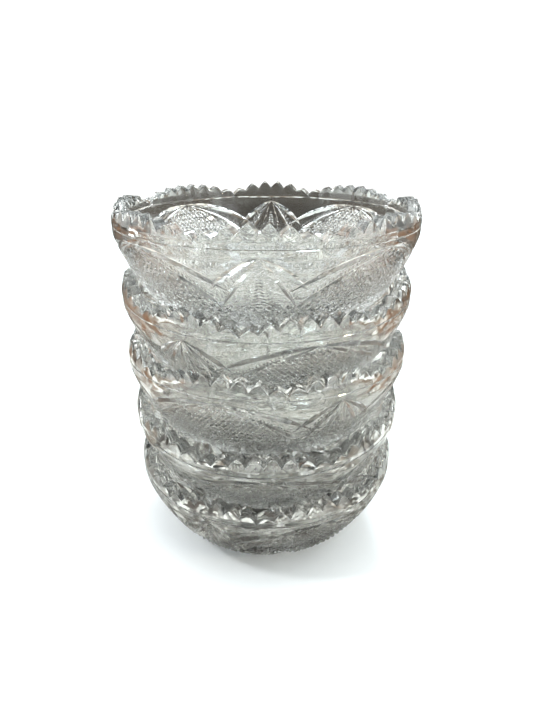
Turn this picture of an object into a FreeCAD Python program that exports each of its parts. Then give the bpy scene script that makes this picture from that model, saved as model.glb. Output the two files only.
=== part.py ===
"""Stack of five nested cut-glass bowls with scalloped sawtooth rims.

Every bowl comes from the same mould: a revolved wall, a rim cut into 8 lobes and 56 teeth, an
encircling groove line, fans of mitre cuts under each lobe, and a star cut into the foot.
The bowls nest rim in rim. Each hangs with its wall just inside the rim of the bowl below, turned
about its own axis and tipped a little about its rim centre, as a hand-piled stack stands.
"""
import FreeCAD, Part
import math
import os
import Sketcher
from FreeCAD import Placement, Rotation, Vector

doc = FreeCAD.newDocument("nested_cut_glass_bowls")
dims = doc.addObject("Spreadsheet::Sheet", "dims")

# Driving sizes in millimetres and degrees. Heights are above the plane the bowl's foot rests on.
SIZES = {
    "rim_outer_radius": 63.5,      # half of the nominal 5 inch bowl
    "rim_edge_radius": 61.9,       # outer wall leans in above the belly
    "rim_inner_radius": 57.6,
    "neck_inner_radius": 56.8,     # inner wall at the foot of the rim band
    "neck_height": 40.0,
    "belly_height": 36.0,
    "band_height": 42.0,
    "shoulder_radius": 52.2,       # outer wall where the foot curve ends
    "shoulder_height": 11.0,
    "wall_bow": 1.1,               # how far the outer wall bulges past its chord
    "foot_radius": 38.0,
    "foot_curve_bow": 0.9,
    "hollow_bow": 6.6,             # how far the inside swells past its chord
    "floor_radius": 33.0,
    "floor_height": 8.0,
    "recess_radius": 31.0,         # shallow recess inside the ring the bowl stands on
    "recess_depth": 0.9,
    "tip_height": 47.5,            # tooth tips at the crown of a lobe
    "tip_drop": 4.9,               # how much lower the tips run in the valley between lobes
    "notch_height": 43.7,          # tooth notches at the crown of a lobe
    "notch_drop": 2.6,
    "line_height": 39.6,           # groove line under the teeth
    "line_depth": 0.6,
    "line_half_width": 0.55,
    "cutter_overrun": 0.6,         # how far a tooth notch's cutter reaches past the glass
    "mitre_sink": 0.35,            # how far a mitre cut's bottom edge lies under the wall at its ends
    "mitre_reach": 3.0,            # height of the cutting wheel's V kept outside the wall
    "mitre_half_width": 4.2,       # half width of that V at its open side
    "star_inner_radius": 4.0,
    "star_outer_radius": 44.0,
    "star_inner_rise": 1.0,        # bottom edge of a star cut, near the axis and past the foot
    "star_outer_rise": 3.6,
    "scallop_inner_radius": 36.0,  # bottom edge of the deeper cut that carries a star ray up the shoulder
    "scallop_inner_rise": 3.2,
    "scallop_outer_radius": 57.0,
    "scallop_outer_rise": 17.5,
    "stack_pitch": 28.8,           # rise from one rim centre to the next, along the lower bowl's axis
    "tip_centre_height": 44.0,     # a bowl tips about this point on its axis
}
# How each bowl stands, bottom one first: turn about its own axis from a narrow lobe facing front,
# then tip about the left-right axis, front edge up.
TURNS = (-23.0, 43.9, 26.3, -27.9, -2.4)
TIPS = (0.0, -2.8, 3.7, -2.5, 0.4)
NODES = tuple("bowl_%d" % (number + 1) for number in range(len(TURNS)))

row = 0
for alias, value in SIZES.items():
    row += 1
    dims.set("A%d" % row, alias)
    dims.set("B%d" % row, str(value))
    dims.setAlias("B%d" % row, alias)
for node, turn, tip in zip(NODES, TURNS, TIPS):
    for kind, value in (("turn", turn), ("tip", tip)):
        row += 1
        dims.set("A%d" % row, "%s_%s" % (node, kind))
        dims.set("B%d" % row, str(value))
        dims.setAlias("B%d" % row, "%s_%s" % (node, kind))
doc.recompute()

# The rim repeats four times round: a lobe of 6 teeth and a lobe of 8.
REPEATS = 4
TEETH_PER_REPEAT = 14
TOOTH_PITCH = 360.0 / (REPEATS * TEETH_PER_REPEAT)
NARROW_HALF = 3 * TOOTH_PITCH
WIDE_CENTRE = 180.0 / REPEATS
WIDE_HALF = 4 * TOOTH_PITCH


def body_plane(body, role):
    """The body's own origin plane or axis with this role."""
    return next(item for item in body.Origin.OriginFeatures if item.Role == role)


def attached_sketch(body, name, role, offset=None):
    """A sketch of the body on one of its own origin planes."""
    sketch = body.newObject("Sketcher::SketchObject", name)
    sketch.AttachmentSupport = [(body_plane(body, role), "")]
    sketch.MapMode = "FlatFace"
    if offset is not None:
        sketch.AttachmentOffset = offset
    return sketch


def bind(sketch, kind, vertex, name, expression):
    """Hold one coordinate of a sketch vertex (edge, end) to a formula of the sheet's cells."""
    edge, end = vertex
    value = getattr(sketch.getPoint(edge, end), "x" if kind == "DistanceX" else "y")
    index = sketch.addConstraint(Sketcher.Constraint(kind, -1, 1, edge, end, value))
    sketch.renameConstraint(index, name)
    sketch.setExpression("Constraints." + name, expression)


def closed_outline(sketch, corners, bows):
    """A closed loop through named corners, with arcs where bows lists an edge.

    corners: (name, x alias or None for the axis, y alias or None for the foot plane).
    bows: edge number to (alias of the arc's bow, 1 to bulge out of the glass or -1 to bulge into it).
    """
    size = dims.getPropertyByName
    points = [Vector(size(x) if x else 0, size(y) if y else 0, 0) for _, x, y in corners]
    count = len(points)
    ends = []
    for index in range(count):
        start, stop = points[index], points[(index + 1) % count]
        if index in bows:
            side = (stop - start).cross(Vector(0, 0, 1)).normalize()
            alias, way = bows[index]
            middle = (start + stop) * 0.5 + side * size(alias) * way
            arc = Part.Arc(start, middle, stop)
            edge = sketch.addGeometry(arc, False)
            turned_over = sketch.getPoint(edge, 1).distanceToPoint(start) > 1e-6
            ends.append((edge, 2 if turned_over else 1, 1 if turned_over else 2))
        else:
            ends.append((sketch.addGeometry(Part.LineSegment(start, stop), False), 1, 2))
    for index in range(count):
        edge, _, last = ends[index]
        following, first, _ = ends[(index + 1) % count]
        sketch.addConstraint(Sketcher.Constraint("Coincident", edge, last, following, first))
    for (edge, first, _), (name, x, y) in zip(ends, corners):
        if x:
            bind(sketch, "DistanceX", (edge, first), name + "_x", "dims." + x)
        else:
            sketch.addConstraint(Sketcher.Constraint("PointOnObject", edge, first, -2))
        if y:
            bind(sketch, "DistanceY", (edge, first), name + "_y", "dims." + y)
        else:
            sketch.addConstraint(Sketcher.Constraint("PointOnObject", edge, first, -1))
    for index, (bow, _) in bows.items():
        chord = points[(index + 1) % count] - points[index]
        radius = chord.Length ** 2 / (8 * size(bow)) + size(bow) / 2
        label = "%s_radius" % corners[index][0]
        arc = sketch.addConstraint(Sketcher.Constraint("Radius", ends[index][0], radius))
        sketch.renameConstraint(arc, label)
        after = corners[(index + 1) % count]
        run = "(dims.%s - dims.%s)" % (after[1], corners[index][1])
        rise = "(dims.%s - %s)" % (after[2], "dims." + corners[index][2] if corners[index][2] else "0")
        sketch.setExpression(
            "Constraints." + label,
            "(%s^2 + %s^2) / (8 * dims.%s) + dims.%s / 2" % (run, rise, bow, bow),
        )


def revolve_wall(body):
    """The plain wall: foot, outer curve, rim band, hollow and floor."""
    sketch = attached_sketch(body, "wall_profile", "XZ_Plane")
    corners = (
        ("foot", "foot_radius", None),
        ("shoulder", "shoulder_radius", "shoulder_height"),
        ("belly", "rim_outer_radius", "belly_height"),
        ("band", "rim_outer_radius", "band_height"),
        ("edge", "rim_edge_radius", "tip_height"),
        ("mouth", "rim_inner_radius", "tip_height"),
        ("neck", "neck_inner_radius", "neck_height"),
        ("floor", "floor_radius", "floor_height"),
        ("middle", None, "floor_height"),
        ("roof", None, "recess_depth"),
        ("recess", "recess_radius", "recess_depth"),
        ("ring", "recess_radius", None),
    )
    bows = {0: ("foot_curve_bow", 1), 1: ("wall_bow", 1), 6: ("hollow_bow", -1)}
    closed_outline(sketch, corners, bows)
    wall = body.newObject("PartDesign::Revolution", "wall")
    wall.Profile = sketch
    wall.ReferenceAxis = (sketch, ["V_Axis"])
    wall.Angle = 360
    sketch.Visibility = False


def lobe_fall(angle):
    """0 at the crown of a lobe, 1 in the valley beside it, for an angle from a narrow lobe's middle."""
    angle = abs((angle + WIDE_CENTRE) % (2 * WIDE_CENTRE) - WIDE_CENTRE)
    if angle <= NARROW_HALF:
        return (angle / NARROW_HALF) ** 2
    return ((WIDE_CENTRE - angle) / WIDE_HALF) ** 2


def tooth_notch(body, number):
    """One V notch between two teeth, run out radially through the rim."""
    angle = number * TOOTH_PITCH
    turned = Rotation(Vector(0, 1, 0), angle)
    sketch = attached_sketch(body, "notch_profile_%d" % number, "YZ_Plane", Placement(Vector(), turned))
    half = "(dims.rim_outer_radius * tan(%.6f deg))" % (TOOTH_PITCH / 2)
    tip = "(dims.tip_height - dims.tip_drop * %.6f)"
    left, right = (tip % lobe_fall(angle + side * TOOTH_PITCH / 2) for side in (-1, 1))
    bottom = "dims.notch_height - dims.notch_drop * %.6f" % lobe_fall(angle)
    above = "dims.tip_height + dims.cutter_overrun"
    # Vertices run: notch bottom, right tip, right top, left top, left tip.
    formulas = (
        ("0 mm", bottom),
        (half, right),
        (half, above),
        ("-" + half, above),
        ("-" + half, left),
    )
    reach = SIZES["rim_outer_radius"] * math.tan(math.radians(TOOTH_PITCH / 2))
    tall = SIZES["tip_height"]
    low = SIZES["notch_height"]
    guess = [Vector(x, y, 0) for x, y in (
        (0, low), (reach, low + 1), (reach, tall + 1), (-reach, tall + 1), (-reach, low + 1))]
    edges = [
        sketch.addGeometry(Part.LineSegment(guess[index], guess[(index + 1) % 5]), False)
        for index in range(5)
    ]
    for index, edge in enumerate(edges):
        following = edges[(index + 1) % 5]
        sketch.addConstraint(Sketcher.Constraint("Coincident", edge, 2, following, 1))
    for index, (edge, (across, up)) in enumerate(zip(edges, formulas)):
        if index == 0:
            sketch.addConstraint(Sketcher.Constraint("PointOnObject", edge, 1, -2))
        else:
            bind(sketch, "DistanceX", (edge, 1), "across_%d" % index, across)
        bind(sketch, "DistanceY", (edge, 1), "up_%d" % index, up)
    notch = body.newObject("PartDesign::Pocket", "notch_%d" % number)
    notch.Profile = sketch
    notch.Type = "Length"
    notch.setExpression("Length", "dims.rim_outer_radius + dims.cutter_overrun")
    notch.Reversed = True
    sketch.Visibility = False
    return notch


def groove_line(body):
    """The V groove that runs round the wall just under the teeth."""
    sketch = attached_sketch(body, "line_profile", "XZ_Plane")
    outer = "dims.rim_outer_radius + dims.line_depth"
    formulas = (
        ("dims.rim_outer_radius - dims.line_depth", "dims.line_height"),
        (outer, "dims.line_height + 2 * dims.line_half_width"),
        (outer, "dims.line_height - 2 * dims.line_half_width"),
    )
    radius, height = SIZES["rim_outer_radius"], SIZES["line_height"]
    guess = [Vector(radius - 1, height, 0), Vector(radius + 1, height + 1, 0), Vector(radius + 1, height - 1, 0)]
    edges = [
        sketch.addGeometry(Part.LineSegment(guess[index], guess[(index + 1) % 3]), False)
        for index in range(3)
    ]
    for index, (edge, (across, up)) in enumerate(zip(edges, formulas)):
        sketch.addConstraint(Sketcher.Constraint("Coincident", edge, 2, edges[(index + 1) % 3], 1))
        bind(sketch, "DistanceX", (edge, 1), "across_%d" % index, across)
        bind(sketch, "DistanceY", (edge, 1), "up_%d" % index, up)
    groove = body.newObject("PartDesign::Groove", "groove_line")
    groove.Profile = sketch
    groove.ReferenceAxis = (sketch, ["V_Axis"])
    groove.Angle = 360
    sketch.Visibility = False


def wall_radius(height):
    """Radius of the outer wall at a height between the shoulder and the rim band."""
    if height >= SIZES["belly_height"]:
        return SIZES["rim_outer_radius"]
    low = Vector(SIZES["shoulder_radius"], SIZES["shoulder_height"], 0)
    high = Vector(SIZES["rim_outer_radius"], SIZES["belly_height"], 0)
    chord = high - low
    bow = SIZES["wall_bow"]
    radius = chord.Length ** 2 / (8 * bow) + bow / 2
    outward = chord.cross(Vector(0, 0, 1)).normalize()
    centre = (low + high) * 0.5 - outward * (radius - bow)
    return centre.x + math.sqrt(radius ** 2 - (height - centre.y) ** 2)


def on_wall(angle, height, sink):
    """A point this far under the outer wall, at an angle round the bowl and a height."""
    radius = wall_radius(height) - sink
    turn = math.radians(angle)
    return Vector(radius * math.cos(turn), radius * math.sin(turn), height)


def mitre_cut(name, start, stop, inward, scale=1.0):
    """A straight V cut whose bottom edge runs from start to stop and which opens away from inward."""
    along = (stop - start).normalize()
    inward = (inward - along * inward.dot(along)).normalize()
    cut = doc.addObject("Part::Wedge", name)
    cut.Ymin = 0
    cut.setExpression("Ymax", "dims.mitre_reach * %s" % scale)
    cut.setExpression("Xmin", "-dims.mitre_half_width * %s" % scale)
    cut.setExpression("Xmax", "dims.mitre_half_width * %s" % scale)
    cut.X2min = 0
    cut.X2max = 0
    cut.Zmin = 0
    cut.Zmax = (stop - start).Length
    cut.Z2min = 0
    cut.Z2max = (stop - start).Length
    turned = Rotation(inward.cross(along), inward, along, "ZYX")
    cut.Placement = Placement(start - inward * SIZES["mitre_reach"] * scale, turned)
    return cut


def wall_cut(name, start, stop):
    """A mitre cut on the outer wall between two (angle, height) points."""
    sink = SIZES["mitre_sink"]
    first, last = on_wall(*start, sink), on_wall(*stop, sink)
    middle = (first + last) * 0.5
    return mitre_cut(name, first, last, Vector(-middle.x, -middle.y, 0))


# The fans: (angle from the lobe's middle, height) along each ray, from the apex under the groove
# line. The outer rays of neighbouring fans meet in a V. Long rays are cut in two strokes.
APEX_HEIGHT = 37.6
MEETING_ANGLE = 14.0
PAST_MEETING = 1.5          # degrees that the outer rays run on past the point where they meet
RAY_END_HEIGHT = 29.0
NARROW_RAYS = (
    ((0.0, APEX_HEIGHT), (MEETING_ANGLE + PAST_MEETING, RAY_END_HEIGHT)),
    ((0.0, APEX_HEIGHT), (9.0, 23.0)),
)
WIDE_RAYS = (
    ((0.0, APEX_HEIGHT), (15.0, 35.0)),
    ((15.0, 35.0), (WIDE_CENTRE - MEETING_ANGLE + PAST_MEETING, RAY_END_HEIGHT)),
    ((0.0, APEX_HEIGHT), (12.0, 31.5)),
    ((12.0, 31.5), (23.0, 23.0)),
)
LEAVES = (
    ((-3.2, 26.0), (0.0, 14.5)),
    ((3.2, 26.0), (0.0, 14.5)),
)


def fan(centre, rays):
    """The cuts of one fan under a lobe whose middle is at this angle, with the leaf below it."""
    cuts = []
    for number, ((angle, height), (next_angle, next_height)) in enumerate(rays):
        for side, side_name in ((-1, "left"), (1, "right")):
            start = (centre + side * angle, height)
            stop = (centre + side * next_angle, next_height)
            cuts.append(wall_cut("ray_%d_%d_%s" % (centre, number, side_name), start, stop))
    for number, ((angle, height), (next_angle, next_height)) in enumerate(LEAVES):
        start, stop = (centre + angle, height), (centre + next_angle, next_height)
        cuts.append(wall_cut("leaf_%d_%d" % (centre, number), start, stop))
    return cuts


# The foot is cut on its own, so its eight rays stand a little to one side of the lobes' middles.
STAR_TURN = -13
SCALLOP_SCALE = 1.6


def star_cuts(angle):
    """One ray of the star in the foot, and the deeper cut that carries it up over the shoulder."""
    turn = Rotation(Vector(0, 0, 1), angle)
    cuts = []
    for kind, scale in (("star", 1.0), ("scallop", SCALLOP_SCALE)):
        start = Vector(SIZES[kind + "_inner_radius"], 0, SIZES[kind + "_inner_rise"])
        stop = Vector(SIZES[kind + "_outer_radius"], 0, SIZES[kind + "_outer_rise"])
        name = "%s_%d" % (kind, angle)
        cuts.append(mitre_cut(name, turn.multVec(start), turn.multVec(stop), Vector(0, 0, 1), scale))
    return cuts


# The pressed blank: plain wall, teeth and groove line.
blank = doc.addObject("PartDesign::Body", "bowl_blank")
revolve_wall(blank)
notches = [tooth_notch(blank, number) for number in range(TEETH_PER_REPEAT)]
teeth = blank.newObject("PartDesign::PolarPattern", "teeth")
teeth.Originals = notches
teeth.Axis = (body_plane(blank, "Z_Axis"), [""])
teeth.Angle = 360
teeth.Occurrences = REPEATS
blank.Tip = teeth
groove_line(blank)

# Its mitre cuts, and the finished form that every bowl of the stack is a clone of.
cuts = []
for repeat in range(REPEATS):
    middle = 360.0 * repeat / REPEATS
    cuts += fan(middle, NARROW_RAYS)
    cuts += fan(middle + WIDE_CENTRE, WIDE_RAYS)
    cuts += star_cuts(middle + STAR_TURN) + star_cuts(middle + STAR_TURN + WIDE_CENTRE)
mitres = doc.addObject("Part::MultiFuse", "mitre_cuts")
mitres.Shapes = cuts
form = doc.addObject("Part::Cut", "bowl_form")
form.Base = blank
form.Tool = mitres
doc.recompute()

# A bowl's placement: its rim centre stands one pitch along the axis of the bowl below.
FRONT = -90.0
below = None
bowls = []
for node in NODES:
    bowl = doc.addObject("PartDesign::Body", node)
    clone = doc.addObject("PartDesign::FeatureBase", node + "_form")
    bowl.Group = [clone]
    clone.BaseFeature = form
    bowl.Tip = clone
    bowl.Label = node
    tipped = "rotation(vector(-1; 0; 0); dims.%s_tip)" % node
    turned = "%s * rotation(vector(0; 0; 1); %s + dims.%s_turn)" % (tipped, FRONT, node)
    to_centre = "vector(0; 0; dims.tip_centre_height)"
    if below is None:
        centre = to_centre
    else:
        centre = "%s.Placement * vector(0; 0; dims.tip_centre_height + dims.stack_pitch)" % below
    bowl.setExpression("Placement", "placement(%s - %s * %s; %s)" % (centre, tipped, to_centre, turned))
    below = node
    bowls.append(bowl)
doc.recompute()

for item in doc.Objects:
    if "Invalid" in item.State or "Error" in item.State:
        raise RuntimeError("%s did not compute: %s" % (item.Name, item.State))
os.makedirs("parts", exist_ok=True)
for bowl in bowls:
    if bowl.Shape.isNull() or not bowl.Shape.isValid():
        raise RuntimeError("%s has no valid shape" % bowl.Label)
    bowl.Shape.exportStep("parts/%s.step" % bowl.Label)
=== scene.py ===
"""A stack of five nested cut-glass bowls: the looks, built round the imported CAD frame."""
import math

import bmesh
import bpy
import numpy as np
from mathutils import Matrix, Vector, geometry


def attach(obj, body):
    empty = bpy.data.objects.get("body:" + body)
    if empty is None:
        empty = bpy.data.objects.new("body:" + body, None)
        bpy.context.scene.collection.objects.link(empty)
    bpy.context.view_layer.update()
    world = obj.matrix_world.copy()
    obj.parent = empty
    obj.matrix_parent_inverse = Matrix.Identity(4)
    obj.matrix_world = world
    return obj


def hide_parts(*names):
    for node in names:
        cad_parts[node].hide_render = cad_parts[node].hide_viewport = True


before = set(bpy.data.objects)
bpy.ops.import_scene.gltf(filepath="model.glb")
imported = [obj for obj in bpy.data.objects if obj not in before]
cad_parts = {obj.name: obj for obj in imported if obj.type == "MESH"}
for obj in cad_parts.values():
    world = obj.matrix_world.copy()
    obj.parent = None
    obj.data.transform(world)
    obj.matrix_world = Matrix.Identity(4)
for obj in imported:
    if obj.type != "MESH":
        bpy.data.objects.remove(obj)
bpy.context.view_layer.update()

MM = 0.001

# ---------------------------------------------------------------- the bowl's sizes, in millimetres
RIM_OUTER = 63.5        # radius of the band under the teeth
RIM_EDGE = 61.9         # outer radius of the rim at the tips
RIM_INNER = 57.6        # its inner radius
NECK_RADIUS = 56.8      # where the hollow's curve starts, under the rim
NECK_HEIGHT = 40.0
BELLY_HEIGHT = 36.0     # where the curved wall meets the upright band
BAND_HEIGHT = 42.0      # where the band starts to lean in towards the tips
SHOULDER_RADIUS = 52.2
SHOULDER_HEIGHT = 11.0
WALL_BOW = 1.1          # how far each curve of the profile bulges from its chord
FOOT_RADIUS = 38.0
FOOT_BOW = 0.9
HOLLOW_BOW = 6.6
FLOOR_RADIUS = 33.0
FLOOR_HEIGHT = 8.0
FLOOR_RINGS = (28.0, 20.0, 10.0, 2.0)
RECESS_RADIUS = 31.0
RECESS_DEPTH = 0.9
RECESS_LIP = 0.9        # width of the slope from the recess to the ring that the bowl stands on
TIP_HEIGHT = 47.5       # a tooth's tip at the crown of a lobe
TIP_DROP = 4.9          # how much lower it is in a valley
NOTCH_HEIGHT = 43.7     # the same for the notches between the teeth
NOTCH_DROP = 2.6
LINE_HEIGHT = 39.6      # the groove line round the bowl
LINE_DEPTH = 0.2
LINE_HALF = 0.35
WALL_TOP = 41.0         # where the cut wall's mesh ends and the rings of the rim take over

# The rim repeats four times round: a lobe of 6 teeth, then a lobe of 8.
REPEATS = 4
TEETH = 56
COLUMNS_PER_TOOTH = 14
NOTCH_RUNOUT = 0.7      # a notch's depth at the inner edge of the rim, as a share of the outer
TIP_ROUNDING = 1.45     # 1 makes pointed teeth, 2 makes round ones
STAR_TURN = -13.0       # the star in the foot stands a little to one side of the lobes
COLUMNS = TEETH * COLUMNS_PER_TOOTH
PITCH_ANGLE = 360.0 / TEETH
NARROW_HALF = 3 * PITCH_ANGLE
WIDE_HALF = 4 * PITCH_ANGLE
WIDE_CENTRE = 180.0 / REPEATS       # also the angle from a lobe's middle to the next one's
UNROLL = 61.0 * math.pi / 180.0     # millimetres per degree on the wall's middle circle

# How each bowl stands, bottom one first: turn, tip, and the stack's rise per bowl.
TURNS = (-23.0, 43.9, 26.3, -27.9, -2.4)
TIPS = (0.0, -2.8, 3.7, -2.5, 0.4)
STACK_PITCH = 28.8
TIP_CENTRE = 44.0       # height on a bowl's axis about which it tips
FRONT = -90.0           # a bowl that isn't turned has a narrow lobe at this angle, towards the camera


# ---------------------------------------------------------------- profile
def arc_points(start, stop, bow, count):
    """Points from start to stop along an arc that bulges to the right by bow, or left if it is negative."""
    start, stop = np.array(start), np.array(stop)
    chord = stop - start
    length = np.hypot(*chord)
    right = np.array((chord[1], -chord[0])) / length
    radius = length ** 2 / (8 * abs(bow)) + abs(bow) / 2
    side = math.copysign(1.0, bow)
    centre = (start + stop) / 2 - right * side * (radius - abs(bow))
    first = math.atan2(*(start - centre)[::-1])
    last = math.atan2(*(stop - centre)[::-1])
    sweep = (last - first + math.pi) % (2 * math.pi) - math.pi
    angles = first + sweep * np.linspace(0, 1, count)
    return centre + radius * np.stack((np.cos(angles), np.sin(angles)), axis=1)


def fold(angle):
    """An angle round the bowl folded to 0 at a narrow lobe's middle and 45 at a wide lobe's."""
    return np.abs((angle + WIDE_CENTRE) % (2 * WIDE_CENTRE) - WIDE_CENTRE)


def lobe_fall(angle):
    """0 at the crown of a lobe, 1 in the valley beside it."""
    folded = fold(angle)
    narrow = (folded / NARROW_HALF) ** 2
    wide = ((WIDE_CENTRE - folded) / WIDE_HALF) ** 2
    return np.where(folded <= NARROW_HALF, narrow, wide)


def tooth_top(angle):
    """Height of the rim's outer edge: sharp notches and slightly rounded tips, following the lobes."""
    number = np.floor(angle / PITCH_ANGLE + 1e-6)
    along = angle / PITCH_ANGLE - number
    notch = np.where(along < 0.5, number, number + 1) * PITCH_ANGLE
    tip = (number + 0.5) * PITCH_ANGLE
    low = NOTCH_HEIGHT - NOTCH_DROP * lobe_fall(notch)
    high = TIP_HEIGHT - TIP_DROP * lobe_fall(tip)
    climb = 1 - np.abs(2 * along - 1)
    return low + (high - low) * (1 - (1 - climb) ** TIP_ROUNDING)


# ---------------------------------------------------------------- the cut pattern on the wall
def curve(start, bend, stop, count=28):
    """Points of a curve from start to stop that leans towards bend."""
    run = np.linspace(0, 1, count)[:, None]
    start, bend, stop = (np.array(point, float) for point in (start, bend, stop))
    return (1 - run) ** 2 * start + 2 * run * (1 - run) * bend + run ** 2 * stop


def stroke(start, stop, count=4):
    """Points of a straight cut."""
    return np.linspace(start, stop, count)


END_WIDTH = 0.02        # a cut's share of width at its very ends, before it is eased
END_EASE = 0.7
OUTSIDE = -1e3          # the depth of a cut where it doesn't reach


class Cut:
    """A V cut along a path in the folded pattern: x round the wall and height, in millimetres.

    It widens over the first share of its length, opening, and narrows over the last, taper.
    """

    def __init__(self, path, half_width, steepness=0.8, taper=0.3, opening=0.3):
        self.path = np.array(path, float)
        run = np.linspace(0, 1, len(self.path))
        share = np.clip(np.minimum(run / opening, (1 - run) / taper), END_WIDTH, 1.0) ** END_EASE
        self.half = half_width * share
        self.steepness = steepness
        along = np.gradient(self.path, axis=0)
        along /= np.hypot(*along.T)[:, None]
        self.across = np.stack((-along[:, 1], along[:, 0]), axis=1)

    def lines(self):
        """The cut's bottom line and its two edges."""
        reach = self.across * self.half[:, None]
        return self.path, self.path + reach, self.path - reach

    def depth(self, points):
        """How deep the cut is at each point; negative outside it."""
        deepest = np.full(len(points), OUTSIDE)
        for index in range(len(self.path) - 1):
            start, along = self.path[index], self.path[index + 1] - self.path[index]
            share = np.clip(((points - start) @ along) / (along @ along), 0, 1)
            distance = np.hypot(*(points - start - share[:, None] * along).T)
            half = self.half[index] + (self.half[index + 1] - self.half[index]) * share
            deepest = np.maximum(deepest, (half - distance) * self.steepness)
        return deepest


APEX = 37.4             # height at which each fan's rays meet
WIDE_X = WIDE_CENTRE * UNROLL
NARROW_TOP, WIDE_TOP = (0.0, APEX), (WIDE_X, APEX)

NARROW_OUTER = curve(NARROW_TOP, (7.6, 34.4), (16.8, 25.4))
NARROW_INNER = curve(NARROW_TOP, (7.0, 28.6), (13.8, 18.6))
WIDE_OUTER = curve(WIDE_TOP, (28.0, 36.8), (10.4, 25.0))
WIDE_INNER = curve(WIDE_TOP, (29.0, 31.2), (13.4, 18.4))
RAYS = [
    Cut(NARROW_OUTER, 1.15, 0.8, 0.25, 0.6),
    Cut(NARROW_INNER, 0.9),
    Cut(WIDE_OUTER, 1.15),
    Cut(WIDE_INNER, 1.2, 0.75, 0.2, 0.5),
]


STROKES_MEET = 33.0     # the herringbone's strokes grow longer below this height
STROKE_SPREAD = 3.4 / 14.0


def blades():
    """A broad blade beside the narrow fan's middle, and the herringbone of strokes that it frames."""
    cuts = [Cut(curve((0.7, 36.2), (2.6, 28.0), (5.6, 18.6)), 1.6, 0.6, 0.12, 0.95)]
    for height in np.arange(19.6, 31.0, 1.25):
        width = STROKE_SPREAD * (STROKES_MEET - height)
        cuts.append(Cut(stroke((0.0, height + 0.9), (width, height)), 0.42, 0.8, 0.4, 0.02))
    return cuts


def leaves():
    """Leaf cuts round the lower wall, spread below the middle of each fan."""
    cuts = []
    for middle, side in ((0.0, 1), (WIDE_X, -1)):
        for away, top, bottom, lean in ((3.4, 18.4, 6.4, 1.2), (8.4, 18.0, 7.4, 0.4)):
            x = middle + side * away
            path = curve((x + side * lean, top), (x + side * 1.2, 12.5), (x - side * lean, bottom))
            cuts.append(Cut(path, 1.5, 1.0))
        cuts.append(Cut(stroke((middle, 18.4), (middle, 6.0), 12), 1.3, 1.0))
    return cuts


FEATHER_START = 1.15    # how far from the ray's middle a comb stroke starts
FEATHER_ACROSS, FEATHER_BACK = 0.75, 0.65       # its slant: away from the ray, and back along it


def feathers(path, side, count, length, first=0.2, last=0.9):
    """Short strokes standing off a ray, like the teeth of a comb."""
    strokes = []
    for run in np.linspace(first, last, count):
        index = int(run * (len(path) - 2))
        along = path[index + 1] - path[index]
        along /= np.hypot(*along)
        across = np.array((-along[1], along[0])) * side
        start = path[index] + across * FEATHER_START
        stop = start + (across * FEATHER_ACROSS - along * FEATHER_BACK) * length
        strokes.append(Cut(stroke(start, stop), 0.4, 0.8, 0.5))
    return strokes


CUTS = RAYS + blades() + leaves()
CUTS += feathers(NARROW_INNER, 1, 11, 1.9) + feathers(WIDE_INNER, -1, 22, 1.9, 0.12, 0.86)

# Diamond points: fields of little pyramids, fine ones in each wide fan and coarser ones below the fans.
DIAMOND_STEEPNESS = 0.75
FINE_PITCH = 1.75
FINE_LOW, FINE_HIGH = 19.4, 35.2
COARSE_COUNT = 13       # coarse diamonds from a narrow lobe's middle to a wide one's
COARSE_LOW, COARSE_HIGH = 5.5, 18.6
SLANT = math.sqrt(0.5)
FIELD_REACH = 80        # grooves are laid out this far each way, then clipped to the field


class Diamonds:
    """A field of pyramids left between two sets of crossing V grooves, 45 degrees to the rim."""

    def __init__(self, origin, pitch, room):
        self.origin, self.pitch, self.room = np.array(origin, float), pitch, room

    def lines_and_tips(self):
        """The field's grooves, cut where they cross and clipped to the field, and its pyramid tips."""
        span = int(FIELD_REACH / self.pitch)
        first, second = (part.ravel() for part in np.meshgrid(*[np.arange(-span, span)] * 2, indexing="ij"))
        across, up = (first - second) * SLANT * self.pitch, (first + second) * SLANT * self.pitch
        places = self.origin + np.stack((across, up), axis=1)
        kept = (self.room(places) > 0) & (places[:, 0] > -0.01) & (places[:, 0] < WIDE_X + 0.01)
        inside = {(i, j): place for i, j, place in zip(first[kept], second[kept], places[kept])}
        lines, tips = [], []
        for (i, j), place in inside.items():
            around = [inside.get(key) for key in ((i + 1, j), (i, j + 1), (i + 1, j + 1))]
            lines += [np.array((place, other)) for other in around[:2] if other is not None]
            if all(other is not None for other in around):
                tips.append((place + around[2]) / 2)
        return lines, tips

    def depth(self, points):
        """Depth of the field's grooves; nothing outside the field."""
        local = (points - self.origin) @ (np.array(((1, -1), (1, 1))) * SLANT) / self.pitch
        nearest = np.abs(local - np.round(local)).min(axis=1) * self.pitch
        return np.where(self.room(points) > -0.01, (self.pitch / 2 - nearest) * DIAMOND_STEEPNESS, 0.0)


def fan_room(points):
    """How far inside the wide fan's field each point lies; negative outside."""
    order = np.argsort(WIDE_INNER[:, 1])
    edge = np.interp(points[:, 1], WIDE_INNER[order, 1], WIDE_INNER[order, 0])
    slope_room = (points[:, 0] - edge) * 0.72 - 1.5     # measured square to the ray, less its own width
    return np.minimum(slope_room, np.minimum(points[:, 1] - FINE_LOW, FINE_HIGH - points[:, 1]))


def lower_room(points):
    """How far inside the lower wall's field each point lies; negative outside."""
    return np.minimum(points[:, 1] - COARSE_LOW, COARSE_HIGH - points[:, 1])


FIELDS = (
    Diamonds((WIDE_X, APEX - 6.0), FINE_PITCH, fan_room),
    Diamonds((0.0, (COARSE_LOW + COARSE_HIGH) / 2), WIDE_X / COARSE_COUNT * SLANT, lower_room),
)


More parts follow.
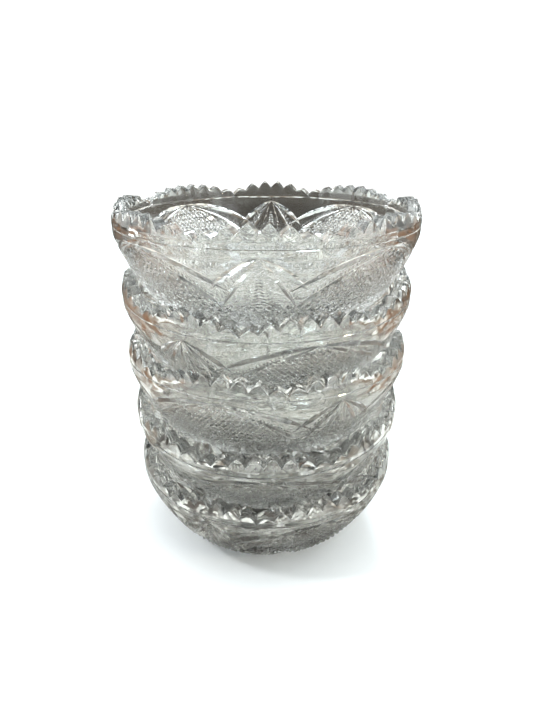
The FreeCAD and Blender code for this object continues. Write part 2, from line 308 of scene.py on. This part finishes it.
def facet_share(points):
    """1 low on the wall, less high in the fans, and 0 above the outer rays and at the foot's edge."""
    order = np.argsort(WIDE_OUTER[:, 0])
    ceiling = np.maximum(np.interp(points[:, 0], *NARROW_OUTER.T, right=0),
                         np.interp(points[:, 0], *WIDE_OUTER[order].T, left=0))
    height = points[:, 1]
    calmer_high = np.interp(height, (22, 28), (1, 0.35))
    below_rays = np.interp(ceiling - height, (0, 1.5), (0, 1))
    return below_rays * calmer_high * np.interp(height, (2, 5), (0, 1))


def wall_depth(points):
    """Depth of everything cut into the wall at each point of the folded pattern."""
    depth = np.zeros(len(points))
    for cut in FIELDS + tuple(CUTS):
        depth = np.maximum(depth, cut.depth(points))
    line = LINE_DEPTH * (1 - np.abs(points[:, 1] - LINE_HEIGHT) / LINE_HALF)
    return np.maximum(depth, line)


# ---------------------------------------------------------------- the bowl's mesh
GRID_STEP = 0.8         # the mesh's own points between the cuts, in millimetres
GRID_GUARD = 0.4        # none of them comes nearer than this to a cut
EDGE_GAP = 0.3          # cuts stop this far from the wall's top and bottom
GUARDS_AT_ONCE = 400    # keeps the table of distances small
SAME_PLACE = 1e-4       # points nearer than this become one
FINE_BELOW = 8          # the mesh is finer below this height, where the star cuts into the wall


def outline():
    """The outer wall's profile from the foot's edge up to the teeth: radius and height."""
    foot = arc_points((FOOT_RADIUS, 0), (SHOULDER_RADIUS, SHOULDER_HEIGHT), FOOT_BOW, 60)
    wall = arc_points((SHOULDER_RADIUS, SHOULDER_HEIGHT), (RIM_OUTER, BELLY_HEIGHT), WALL_BOW, 120)
    band = np.linspace((RIM_OUTER, BELLY_HEIGHT), (RIM_OUTER, WALL_TOP), 20)
    return np.concatenate((foot, wall[1:], band[1:]))


def wall_grid(guard):
    """Staggered rows of points, finer near the foot, that fill the wall between the guarded points."""
    heights = np.concatenate((np.arange(0.5, FINE_BELOW, 0.55), np.arange(FINE_BELOW + 0.2, 40, GRID_STEP)))
    rows = []
    for number, height in enumerate(heights):
        across = np.arange(GRID_STEP * (0.5 + 0.5 * (number % 2)), WIDE_X - 0.2, GRID_STEP)
        rows.append(np.stack((across, np.full(len(across), height)), axis=1))
    grid = np.concatenate(rows)
    nearest = np.full(len(grid), np.inf)
    for start in range(0, len(guard), GUARDS_AT_ONCE):
        gap = np.hypot(*(grid[:, None, :] - guard[None, start:start + GUARDS_AT_ONCE, :]).T).min(axis=0)
        nearest = np.minimum(nearest, gap)
    return grid[nearest > GRID_GUARD]


def wall_pattern():
    """The folded pattern as a flat triangle mesh whose edges follow every cut."""
    points, edges = [], []

    def add_line(path):
        first = len(points)
        points.extend(map(tuple, path))
        edges.extend((index, index + 1) for index in range(first, len(points) - 1))

    columns = np.linspace(0, WIDE_X, COLUMNS // (2 * REPEATS) + 1)
    for height in (0, WALL_TOP):
        add_line(np.stack((columns, columns * 0 + height), axis=1))
    side_heights = np.concatenate((np.arange(0, FINE_BELOW, 0.4), np.arange(FINE_BELOW, WALL_TOP, 0.7),
                                   (WALL_TOP,)))
    for x in (0, WIDE_X):
        add_line(np.stack((side_heights * 0 + x, side_heights), axis=1))
    guard = []
    for cut in CUTS:
        for path in cut.lines():
            inside = np.clip(path, (0, EDGE_GAP), (WIDE_X, WALL_TOP - EDGE_GAP))
            add_line(inside)
            guard.append(inside)
    for height in (LINE_HEIGHT - LINE_HALF, LINE_HEIGHT, LINE_HEIGHT + LINE_HALF):
        add_line(np.linspace((0, height), (WIDE_X, height), 70))
    for field in FIELDS:
        lines, tips = field.lines_and_tips()
        for path in lines:
            add_line(path)
        points.extend(map(tuple, tips))
        guard += lines + [np.array(tips)]
    points.extend(map(tuple, wall_grid(np.concatenate(guard))))
    flat = geometry.delaunay_2d_cdt([Vector(point) for point in points], edges, [], 0, SAME_PLACE)
    return np.array([tuple(point) for point in flat[0]]), np.array(flat[2])


# The star has one cut for each lobe.
STAR_INNER = 4.0                # the cuts start this far from the axis
STAR_RISE = (1.0, 0.065)        # height of a cut's bottom line where it starts, and its slope
SHOULDER_CUT = (36.0, 3.2, 0.68)    # radius, height and slope of the deeper cut over the shoulder
STAR_SIDE_SLOPE = 0.714         # how steeply a cut's two sides fall away from its bottom line


def star_lift(angle, radius, height):
    """The star in the foot: points in the way of a star cut rise to the cut's slope."""
    from_ray = (angle - STAR_TURN + WIDE_CENTRE / 2) % WIDE_CENTRE - WIDE_CENTRE / 2
    aside = np.abs(radius * np.sin(np.radians(from_ray)))
    over_foot = STAR_RISE[0] + STAR_RISE[1] * (radius - STAR_INNER)
    over_shoulder = SHOULDER_CUT[1] + SHOULDER_CUT[2] * (radius - SHOULDER_CUT[0])
    cut = np.maximum(over_foot, over_shoulder) - aside * STAR_SIDE_SLOPE
    return np.where(radius > STAR_INNER, np.maximum(height, cut), height)


def round_wall():
    """The cut wall all the way round. A point is angle, radius, height, depth of cut and facet share."""
    flat, triangles = wall_pattern()
    depth = wall_depth(flat)
    depth[(flat[:, 1] > WALL_TOP - 0.01) | (flat[:, 1] < 0.01)] = 0     # the seams stay where they are
    rays = np.max([cut.depth(flat) for cut in RAYS], axis=0)
    facets = facet_share(flat) * (rays < 0)
    path = outline()
    slope = np.gradient(path, axis=0)
    slope /= np.hypot(*slope.T)[:, None]
    run, rise = (np.interp(flat[:, 1], path[:, 1], slope[:, part]) for part in (0, 1))
    radius = np.interp(flat[:, 1], path[:, 1], path[:, 0]) - depth * rise
    height = flat[:, 1] + depth * run
    points, faces = [], []
    for repeat in range(REPEATS):
        for side in (1, -1):
            angle = repeat * 2 * WIDE_CENTRE + side * flat[:, 0] / UNROLL
            faces.append(triangles[:, ::side] + len(flat) * len(points))
            lifted = star_lift(angle, radius, height)
            points.append(np.stack((angle, radius, lifted, depth, facets), axis=1))
    return np.concatenate(points), np.concatenate(faces)


ANGLES = np.arange(COLUMNS) * 360.0 / COLUMNS
RIM_CROWN = 0.2         # the top of the rim stands this much higher between its edges


def rings(rows):
    """A band of quads through rings of points, each ring given as (radius, height)."""
    points = np.concatenate([
        np.stack((ANGLES, ANGLES * 0 + radius, ANGLES * 0 + height, ANGLES * 0, ANGLES * 0), axis=1)
        for radius, height in rows])
    ring = np.arange(len(rows) - 1)[:, None] * COLUMNS
    column = np.arange(COLUMNS)[None, :]
    after = (column + 1) % COLUMNS
    quads = np.stack((ring + column, ring + after, ring + COLUMNS + after, ring + COLUMNS + column), axis=2)
    return points, quads.reshape(-1, 4)


def foot_rows():
    """Rings of the underside: recess, then the ring the bowl stands on, with the star cut in."""
    recess = [(radius, RECESS_DEPTH) for radius in np.linspace(1.5, RECESS_RADIUS, 10)]
    standing = [(radius, 0.0) for radius in np.linspace(RECESS_RADIUS + RECESS_LIP, FOOT_RADIUS, 5)]
    return [(radius, star_lift(ANGLES, radius, height)) for radius, height in recess + standing]


def rim_rows():
    """Rings from the top of the cut wall over the teeth and down the hollow to the floor."""
    outer_top = tooth_top(ANGLES)
    crest = TIP_HEIGHT - TIP_DROP * lobe_fall(ANGLES)
    inner_top = crest - NOTCH_RUNOUT * (crest - outer_top)
    rows = []
    for share in np.linspace(0, 1, 8):
        height = WALL_TOP + (outer_top - WALL_TOP) * share
        lean = np.clip((height - BAND_HEIGHT) / (TIP_HEIGHT - BAND_HEIGHT), 0, 1)
        rows.append((RIM_OUTER + (RIM_EDGE - RIM_OUTER) * lean, height))
    edge = rows[-1][0]
    for share in (0.05, 0.3, 0.6, 0.95):
        height = outer_top + (inner_top - outer_top) * share + RIM_CROWN
        rows.append((edge + (RIM_INNER - edge) * share, height))
    for share in np.linspace(0, 1, 6):
        height = inner_top + (NECK_HEIGHT - inner_top) * share
        rows.append((RIM_INNER + (NECK_RADIUS - RIM_INNER) * share, height))
    hollow = arc_points((NECK_RADIUS, NECK_HEIGHT), (FLOOR_RADIUS, FLOOR_HEIGHT), -HOLLOW_BOW, 12)
    rows += [(radius, height) for radius, height in hollow[1:]]
    rows += [(radius, FLOOR_HEIGHT) for radius in FLOOR_RINGS]
    return rows


def cap(ring_start, middle):
    """A fan of triangles that closes a ring at the axis."""
    column = np.arange(COLUMNS)
    after = (column + 1) % COLUMNS
    return np.stack((ring_start + column, ring_start + after, np.full(COLUMNS, middle)), axis=1)


def bowl_shape():
    """One bowl: its points, their depth of cut and facet share, and its faces."""
    wall, wall_faces = round_wall()
    foot, foot_faces = rings(foot_rows())
    rim, rim_faces = rings(rim_rows())
    ends = np.array(((0, 0, RECESS_DEPTH, 0, 0), (0, 0, FLOOR_HEIGHT, 0, 0)), float)
    foot_start = len(wall)
    rim_start = foot_start + len(foot)
    ends_start = rim_start + len(rim)
    points = np.concatenate((wall, foot, rim, ends))
    faces = wall_faces.tolist() + (foot_faces + foot_start).tolist() + (rim_faces + rim_start).tolist()
    faces += cap(foot_start, ends_start)[:, ::-1].tolist()
    faces += cap(ends_start - COLUMNS, ends_start + 1).tolist()
    turn = np.radians(points[:, 0])
    places = np.stack((points[:, 1] * np.cos(turn), points[:, 1] * np.sin(turn), points[:, 2]), axis=1)
    return places, points[:, 3], points[:, 4], faces


def stand(number, centre):
    """The matrix of a bowl in millimetres, from its own frame to its place in the stack."""
    tipped = Matrix.Rotation(math.radians(TIPS[number]), 4, Vector((-1, 0, 0)))
    turned = Matrix.Rotation(math.radians(FRONT + TURNS[number]), 4, "Z")
    to_centre = Matrix.Translation((0, 0, -TIP_CENTRE))
    return Matrix.Translation(centre) @ tipped @ to_centre @ turned


FULLY_CUT = 0.3                 # millimetres of depth at which glass counts as fully cut
WELD_DISTANCE = 2e-6            # metres; the wall, its mirror images and the rings join here
SHARP_ANGLE = math.radians(22)


def build_bowls(material):
    """The five bowls, each riding on its CAD body in place of the CAD node."""
    places, depth, facets, faces = bowl_shape()
    with_ones = np.concatenate((places, np.ones((len(places), 1))), axis=1)
    centre = Vector((0, 0, TIP_CENTRE))
    for number in range(len(TURNS)):
        name = "bowl_%d" % (number + 1)
        matrix = stand(number, centre)
        placed = (with_ones @ np.array(matrix).T)[:, :3] * MM
        mesh = bpy.data.meshes.new("cut_glass_%s" % name)
        mesh.from_pydata(placed, [], faces)
        cut_share = np.clip(depth / FULLY_CUT, 0, 1)
        mesh.attributes.new("cut", "FLOAT", "POINT").data.foreach_set("value", cut_share)
        mesh.attributes.new("facets", "FLOAT", "POINT").data.foreach_set("value", facets)
        weld = bmesh.new()
        weld.from_mesh(mesh)
        bmesh.ops.remove_doubles(weld, verts=weld.verts, dist=WELD_DISTANCE)
        weld.to_mesh(mesh)
        weld.free()
        mesh.shade_smooth()
        mesh.set_sharp_from_angle(angle=SHARP_ANGLE)
        mesh.materials.append(material)
        bowl = bpy.data.objects.new("cut_glass_%s" % name, mesh)
        bpy.context.scene.collection.objects.link(bowl)
        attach(bowl, name)
        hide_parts(name)
        centre = centre + (matrix.to_3x3() @ Vector((0, 0, 1))) * STACK_PITCH


# ---------------------------------------------------------------- materials
def node(tree, kind, **values):
    """A shader node with its properties and unlinked inputs set."""
    made = tree.nodes.new(kind)
    for key, value in values.items():
        if key in made.inputs:
            made.inputs[key].default_value = value
        else:
            setattr(made, key, value)
    return made


def maths(tree, operation, *values):
    """A Math node fed by sockets or numbers."""
    made = node(tree, "ShaderNodeMath", operation=operation)
    for socket, value in zip(made.inputs, values):
        if isinstance(value, (int, float)):
            socket.default_value = value
        else:
            tree.links.new(value, socket)
    return made.outputs[0]


def blend_by(tree, share, first, second):
    """A colour Mix node between two colours, or between sockets, by a share socket."""
    mix = node(tree, "ShaderNodeMix", data_type="RGBA")
    tree.links.new(share, mix.inputs[0])
    for socket, value in ((mix.inputs[6], first), (mix.inputs[7], second)):
        if isinstance(value, tuple):
            socket.default_value = value
        else:
            tree.links.new(value, socket)
    return mix.outputs[2]


def smooth_share(tree, value, low, high):
    """A socket that rises smoothly from 0 where value is low to 1 where it is high."""
    rise = node(tree, "ShaderNodeMapRange", interpolation_type="SMOOTHSTEP")
    rise.inputs["From Min"].default_value = low
    rise.inputs["From Max"].default_value = high
    tree.links.new(value, rise.inputs["Value"])
    return rise.outputs[0]


def noise(tree, place, scale, detail):
    """A soft noise value socket over the given coordinates."""
    made = node(tree, "ShaderNodeTexNoise", Scale=scale, Detail=detail)
    tree.links.new(place, made.inputs["Vector"])
    return made.outputs["Fac"]


GLASS_TRANSMISSION = 0.965
GLASS_IOR = 1.52
GLASS_TINTS = ((0.975, 0.982, 0.965, 1), (0.992, 0.99, 0.978, 1))
WAVES_PER_METRE = 90.0          # the polished surface is faintly wavy
WAVE_STRENGTH, WAVE_HEIGHT = 0.12, 0.0006
FACETS_PER_METRE = 700.0
FACET_STRENGTH, FACET_HEIGHT = 0.9, 0.0005
HAZE_PER_METRE = 260.0
HAZE_ROUGHNESS = 0.014          # the most that wear adds, anywhere
CUT_ROUGHNESS = 0.02            # the most that being cut adds


def cut_glass():
    """Clear cut crystal: polished and faintly wavy, a touch less polished inside the cuts."""
    material = bpy.data.materials.new("cut_crystal")
    material.use_nodes = True
    tree = material.node_tree
    shader = tree.nodes["Principled BSDF"]
    shader.inputs["Transmission Weight"].default_value = GLASS_TRANSMISSION
    shader.inputs["IOR"].default_value = GLASS_IOR
    place = tree.nodes.new("ShaderNodeTexCoord").outputs["Object"]
    wave = noise(tree, place, WAVES_PER_METRE, 1.0)
    wavy = node(tree, "ShaderNodeBump", Strength=WAVE_STRENGTH, Distance=WAVE_HEIGHT)
    tree.links.new(wave, wavy.inputs["Height"])
    facets = node(tree, "ShaderNodeTexVoronoi", Scale=FACETS_PER_METRE)
    tree.links.new(place, facets.inputs["Vector"])
    where = node(tree, "ShaderNodeAttribute", attribute_name="facets").outputs["Fac"]
    faceted = node(tree, "ShaderNodeBump", Distance=FACET_HEIGHT)
    tree.links.new(maths(tree, "MULTIPLY", where, FACET_STRENGTH), faceted.inputs["Strength"])
    tree.links.new(facets.outputs["Distance"], faceted.inputs["Height"])
    tree.links.new(wavy.outputs[0], faceted.inputs["Normal"])
    tree.links.new(faceted.outputs[0], shader.inputs["Normal"])
    tree.links.new(blend_by(tree, wave, *GLASS_TINTS), shader.inputs["Base Color"])
    cut = node(tree, "ShaderNodeAttribute", attribute_name="cut").outputs["Fac"]
    worn = maths(tree, "MULTIPLY", noise(tree, place, HAZE_PER_METRE, 4.0), HAZE_ROUGHNESS)
    dull = maths(tree, "MULTIPLY", cut, CUT_ROUGHNESS)
    tree.links.new(maths(tree, "ADD", worn, dull), shader.inputs["Roughness"])
    return material


# ---------------------------------------------------------------- the set
# To the camera the floor and the backdrop are plain and near white. In the glass, by refraction and
# reflection, they are a patchy room, which gives the cuts light and dark to sparkle with.
WHITE = (1.0, 1.0, 1.0, 1)
FLOOR_COLOUR = (0.93, 0.93, 0.93, 1)
FLOOR_REACH = 4.0                       # metres
FLOOR_FADE = (0.5, 1.4)                 # metres over which the floor fades into the backdrop
PAINTED_SHADE_UNDER_STACK = (0.07, 0.05, 0.04, 1)     # the floor in the glass: painted shade under the stack, with bright painted glints like caustics
PAINTED_GLINT_LIGHT = (0.95, 0.93, 0.86, 1)
PAINTED_GLINTS_PER_METRE = 75.0
PAINTED_GLINT_EDGE = (0.5, 0.58)                # the noise's values over which a patch or a painted glint fades in
UNDER_EDGE = (0.06, 0.14)               # metres over which one zone of the floor turns into the next
NEAR_SHADE = (0.95, 0.95, 0.9, 1)       # near the stack bright with soft patches
PATCH_SHADE = (0.22, 0.17, 0.13, 1)
PATCHES_PER_METRE = 18.0
PATCH_EDGE = (0.44, 0.56)
NEAR_EDGE = (0.22, 0.5)
FAR_SHADE = (0.055, 0.046, 0.038, 1)    # and far from it dark, browner to the sides
SIDE_SHADE = (0.17, 0.08, 0.035, 1)
SIDE_SHARE = (0.5, 0.85)                # |x| over distance where a side starts, and where it is full
SIDE_REACH = 0.1                        # metres nearer that the side shade comes
ROOM_BANDS = (                          # the room in the glass, from low to high
    (0.0, (0.06, 0.05, 0.04, 1)),
    (0.3, (0.09, 0.075, 0.06, 1)),
    (0.42, (0.58, 0.55, 0.49, 1)),
    (0.58, (1.12, 1.15, 1.13, 1)),
    (1.0, (1.45, 1.57, 1.61, 1)),
)
ROOM_LEAN = -0.5                        # the bands start lower at the front, where y is negative
ROOM_SIDES = 0.3                        # and at the sides
SHADOW_FROM = (-0.2, -0.85, 0.48)       # the dark part of the room, which the hollow of the top bowl mirrors
SHADOW = (0.02, 0.02, 0.024, 1)
SHADOW_EDGE = (0.64, 0.86)              # cosine of the angle from its middle where it ends, and is full
ROOM_PATCH_SCALE = 5.0
ROOM_PATCH_EDGE = (0.42, 0.58)
ROOM_LIGHT = (0.58, 1.63)               # strength of the room's dim and bright patches


def plain_floor():
    """A pale floor that fades into the backdrop, and what the glass shows in its place."""
    mesh = bpy.data.meshes.new("floor")
    corners = [(x * FLOOR_REACH, y * FLOOR_REACH, 0) for x, y in ((-1, -1), (1, -1), (1, 1), (-1, 1))]
    mesh.from_pydata(corners, [], [(0, 1, 2, 3)])
    floor = bpy.data.objects.new("floor", mesh)
    bpy.context.scene.collection.objects.link(floor)
    material = bpy.data.materials.new("pale_floor")
    material.use_nodes = True
    tree = material.node_tree
    shader = tree.nodes["Principled BSDF"]
    shader.inputs["Roughness"].default_value = 0.9
    shader.inputs["Specular IOR Level"].default_value = 0.0
    seen = tree.nodes.new("ShaderNodeLightPath").outputs["Is Camera Ray"]
    place = tree.nodes.new("ShaderNodeTexCoord").outputs["Object"]
    distance = node(tree, "ShaderNodeVectorMath", operation="LENGTH")
    tree.links.new(place, distance.inputs[0])
    away = distance.outputs["Value"]
    split = tree.nodes.new("ShaderNodeSeparateXYZ")
    tree.links.new(place, split.inputs[0])
    aside = maths(tree, "DIVIDE", maths(tree, "ABSOLUTE", split.outputs[0]), away)
    sideways = smooth_share(tree, aside, *SIDE_SHARE)
    # painted caustic glints in the painted shade under the stack, seen only in the glass
    glints = smooth_share(tree, noise(tree, place, PAINTED_GLINTS_PER_METRE, 1.0), *PAINTED_GLINT_EDGE)
    patches = smooth_share(tree, noise(tree, place, PATCHES_PER_METRE, 2.0), *PATCH_EDGE)
    under = blend_by(tree, glints, PAINTED_SHADE_UNDER_STACK, PAINTED_GLINT_LIGHT)
    patchy = blend_by(tree, patches, NEAR_SHADE, PATCH_SHADE)
    near = blend_by(tree, smooth_share(tree, away, *UNDER_EDGE), under, patchy)
    far = blend_by(tree, sideways, FAR_SHADE, SIDE_SHADE)
    reach = maths(tree, "ADD", away, maths(tree, "MULTIPLY", sideways, SIDE_REACH))
    glassy = blend_by(tree, smooth_share(tree, reach, *NEAR_EDGE), near, far)
    tree.links.new(blend_by(tree, seen, glassy, FLOOR_COLOUR), shader.inputs["Base Color"])
    fade = smooth_share(tree, away, *FLOOR_FADE)
    mixed = tree.nodes.new("ShaderNodeMixShader")
    tree.links.new(maths(tree, "MULTIPLY", fade, seen), mixed.inputs[0])
    tree.links.new(shader.outputs[0], mixed.inputs[1])
    tree.links.new(tree.nodes.new("ShaderNodeBsdfTransparent").outputs[0], mixed.inputs[2])
    tree.links.new(mixed.outputs[0], tree.nodes["Material Output"].inputs["Surface"])
    mesh.materials.append(material)


def soft_world():
    """White behind the stack, and in the glass a room: dark and brown low down, bright above."""
    world = bpy.data.worlds.new("studio")
    bpy.context.scene.world = world
    world.use_nodes = True
    tree = world.node_tree
    background = tree.nodes["Background"]
    place = tree.nodes.new("ShaderNodeTexCoord").outputs["Generated"]
    split = tree.nodes.new("ShaderNodeSeparateXYZ")
    tree.links.new(place, split.inputs[0])
    across, depth, height = split.outputs
    leaning = maths(tree, "ADD", height, maths(tree, "MULTIPLY", depth, ROOM_LEAN))
    sides = maths(tree, "MULTIPLY", maths(tree, "ABSOLUTE", across), ROOM_SIDES)
    level = maths(tree, "ADD", leaning, sides)
    ramp = tree.nodes.new("ShaderNodeValToRGB")
    tree.links.new(maths(tree, "MULTIPLY", maths(tree, "ADD", level, 1.0), 0.5), ramp.inputs[0])
    stops = ramp.color_ramp.elements
    stops[0].position, stops[0].color = ROOM_BANDS[0]
    stops[1].position, stops[1].color = ROOM_BANDS[-1]
    for position, colour in ROOM_BANDS[1:-1]:
        stops.new(position).color = colour
    towards = node(tree, "ShaderNodeVectorMath", operation="DOT_PRODUCT")
    tree.links.new(place, towards.inputs[0])
    towards.inputs[1].default_value = SHADOW_FROM
    dark = smooth_share(tree, towards.outputs["Value"], *SHADOW_EDGE)
    room = blend_by(tree, dark, ramp.outputs[0], SHADOW)
    seen = tree.nodes.new("ShaderNodeLightPath").outputs["Is Camera Ray"]
    tree.links.new(blend_by(tree, seen, room, WHITE), background.inputs["Color"])
    lit = smooth_share(tree, noise(tree, place, ROOM_PATCH_SCALE, 1.0), *ROOM_PATCH_EDGE)
    dim, bright = ROOM_LIGHT
    strength = maths(tree, "ADD", maths(tree, "MULTIPLY", lit, bright - dim), dim)
    in_glass = maths(tree, "MULTIPLY", strength, maths(tree, "SUBTRACT", 1.0, seen))
    tree.links.new(maths(tree, "MAXIMUM", in_glass, seen), background.inputs["Strength"])


LAMPS = (
    # name, place in metres, diameter in metres, watts, colour
    ("key", (-0.55, -0.2, 0.75), 0.09, 2.0, (0.93, 0.97, 1.0)),
    ("fill", (0.7, -0.4, 0.45), 0.08, 0.8, (1.0, 0.88, 0.66)),
    ("back", (0.2, 0.8, 0.7), 0.16, 3.5, (0.75, 0.9, 1.0)),
)
STACK_MIDDLE = Vector((0, 0, 0.08))


def softbox(name, where, diameter, power, colour):
    """A round area light aimed at the middle of the stack."""
    data = bpy.data.lights.new(name, "AREA")
    data.shape = "DISK"
    data.size = diameter
    data.energy = power
    data.color = colour
    lamp = bpy.data.objects.new(name, data)
    lamp.location = where
    lamp.rotation_euler = (STACK_MIDDLE - Vector(where)).to_track_quat("-Z", "Y").to_euler()
    bpy.context.scene.collection.objects.link(lamp)


CAMERA_PLACE = (0, -0.2108, 0.191)
LOOKING_DOWN = 26.0                     # degrees
SENSOR_WIDTH = 36.0                     # millimetres
FOCAL_SHARE = 480.0 / 711.0             # focal length as a share of the picture's longer side
NESTED_BOUNCES = 32                     # five nested walls take more than the usual number of bounces


def photo_camera():
    """The viewing angle: close, above the rim, looking down with a wide phone lens."""
    data = bpy.data.cameras.new("camera")
    data.lens = SENSOR_WIDTH * FOCAL_SHARE
    camera = bpy.data.objects.new("camera", data)
    camera.location = CAMERA_PLACE
    camera.rotation_euler = (math.radians(90 - LOOKING_DOWN), 0, 0)
    bpy.context.scene.collection.objects.link(camera)
    bpy.context.scene.camera = camera


build_bowls(cut_glass())
plain_floor()
soft_world()
for lamp in LAMPS:
    softbox(*lamp)
photo_camera()
scene = bpy.context.scene
scene.view_settings.view_transform = "Standard"
scene.view_settings.look = "Medium High Contrast"
scene.cycles.max_bounces = NESTED_BOUNCES
scene.cycles.transmission_bounces = NESTED_BOUNCES
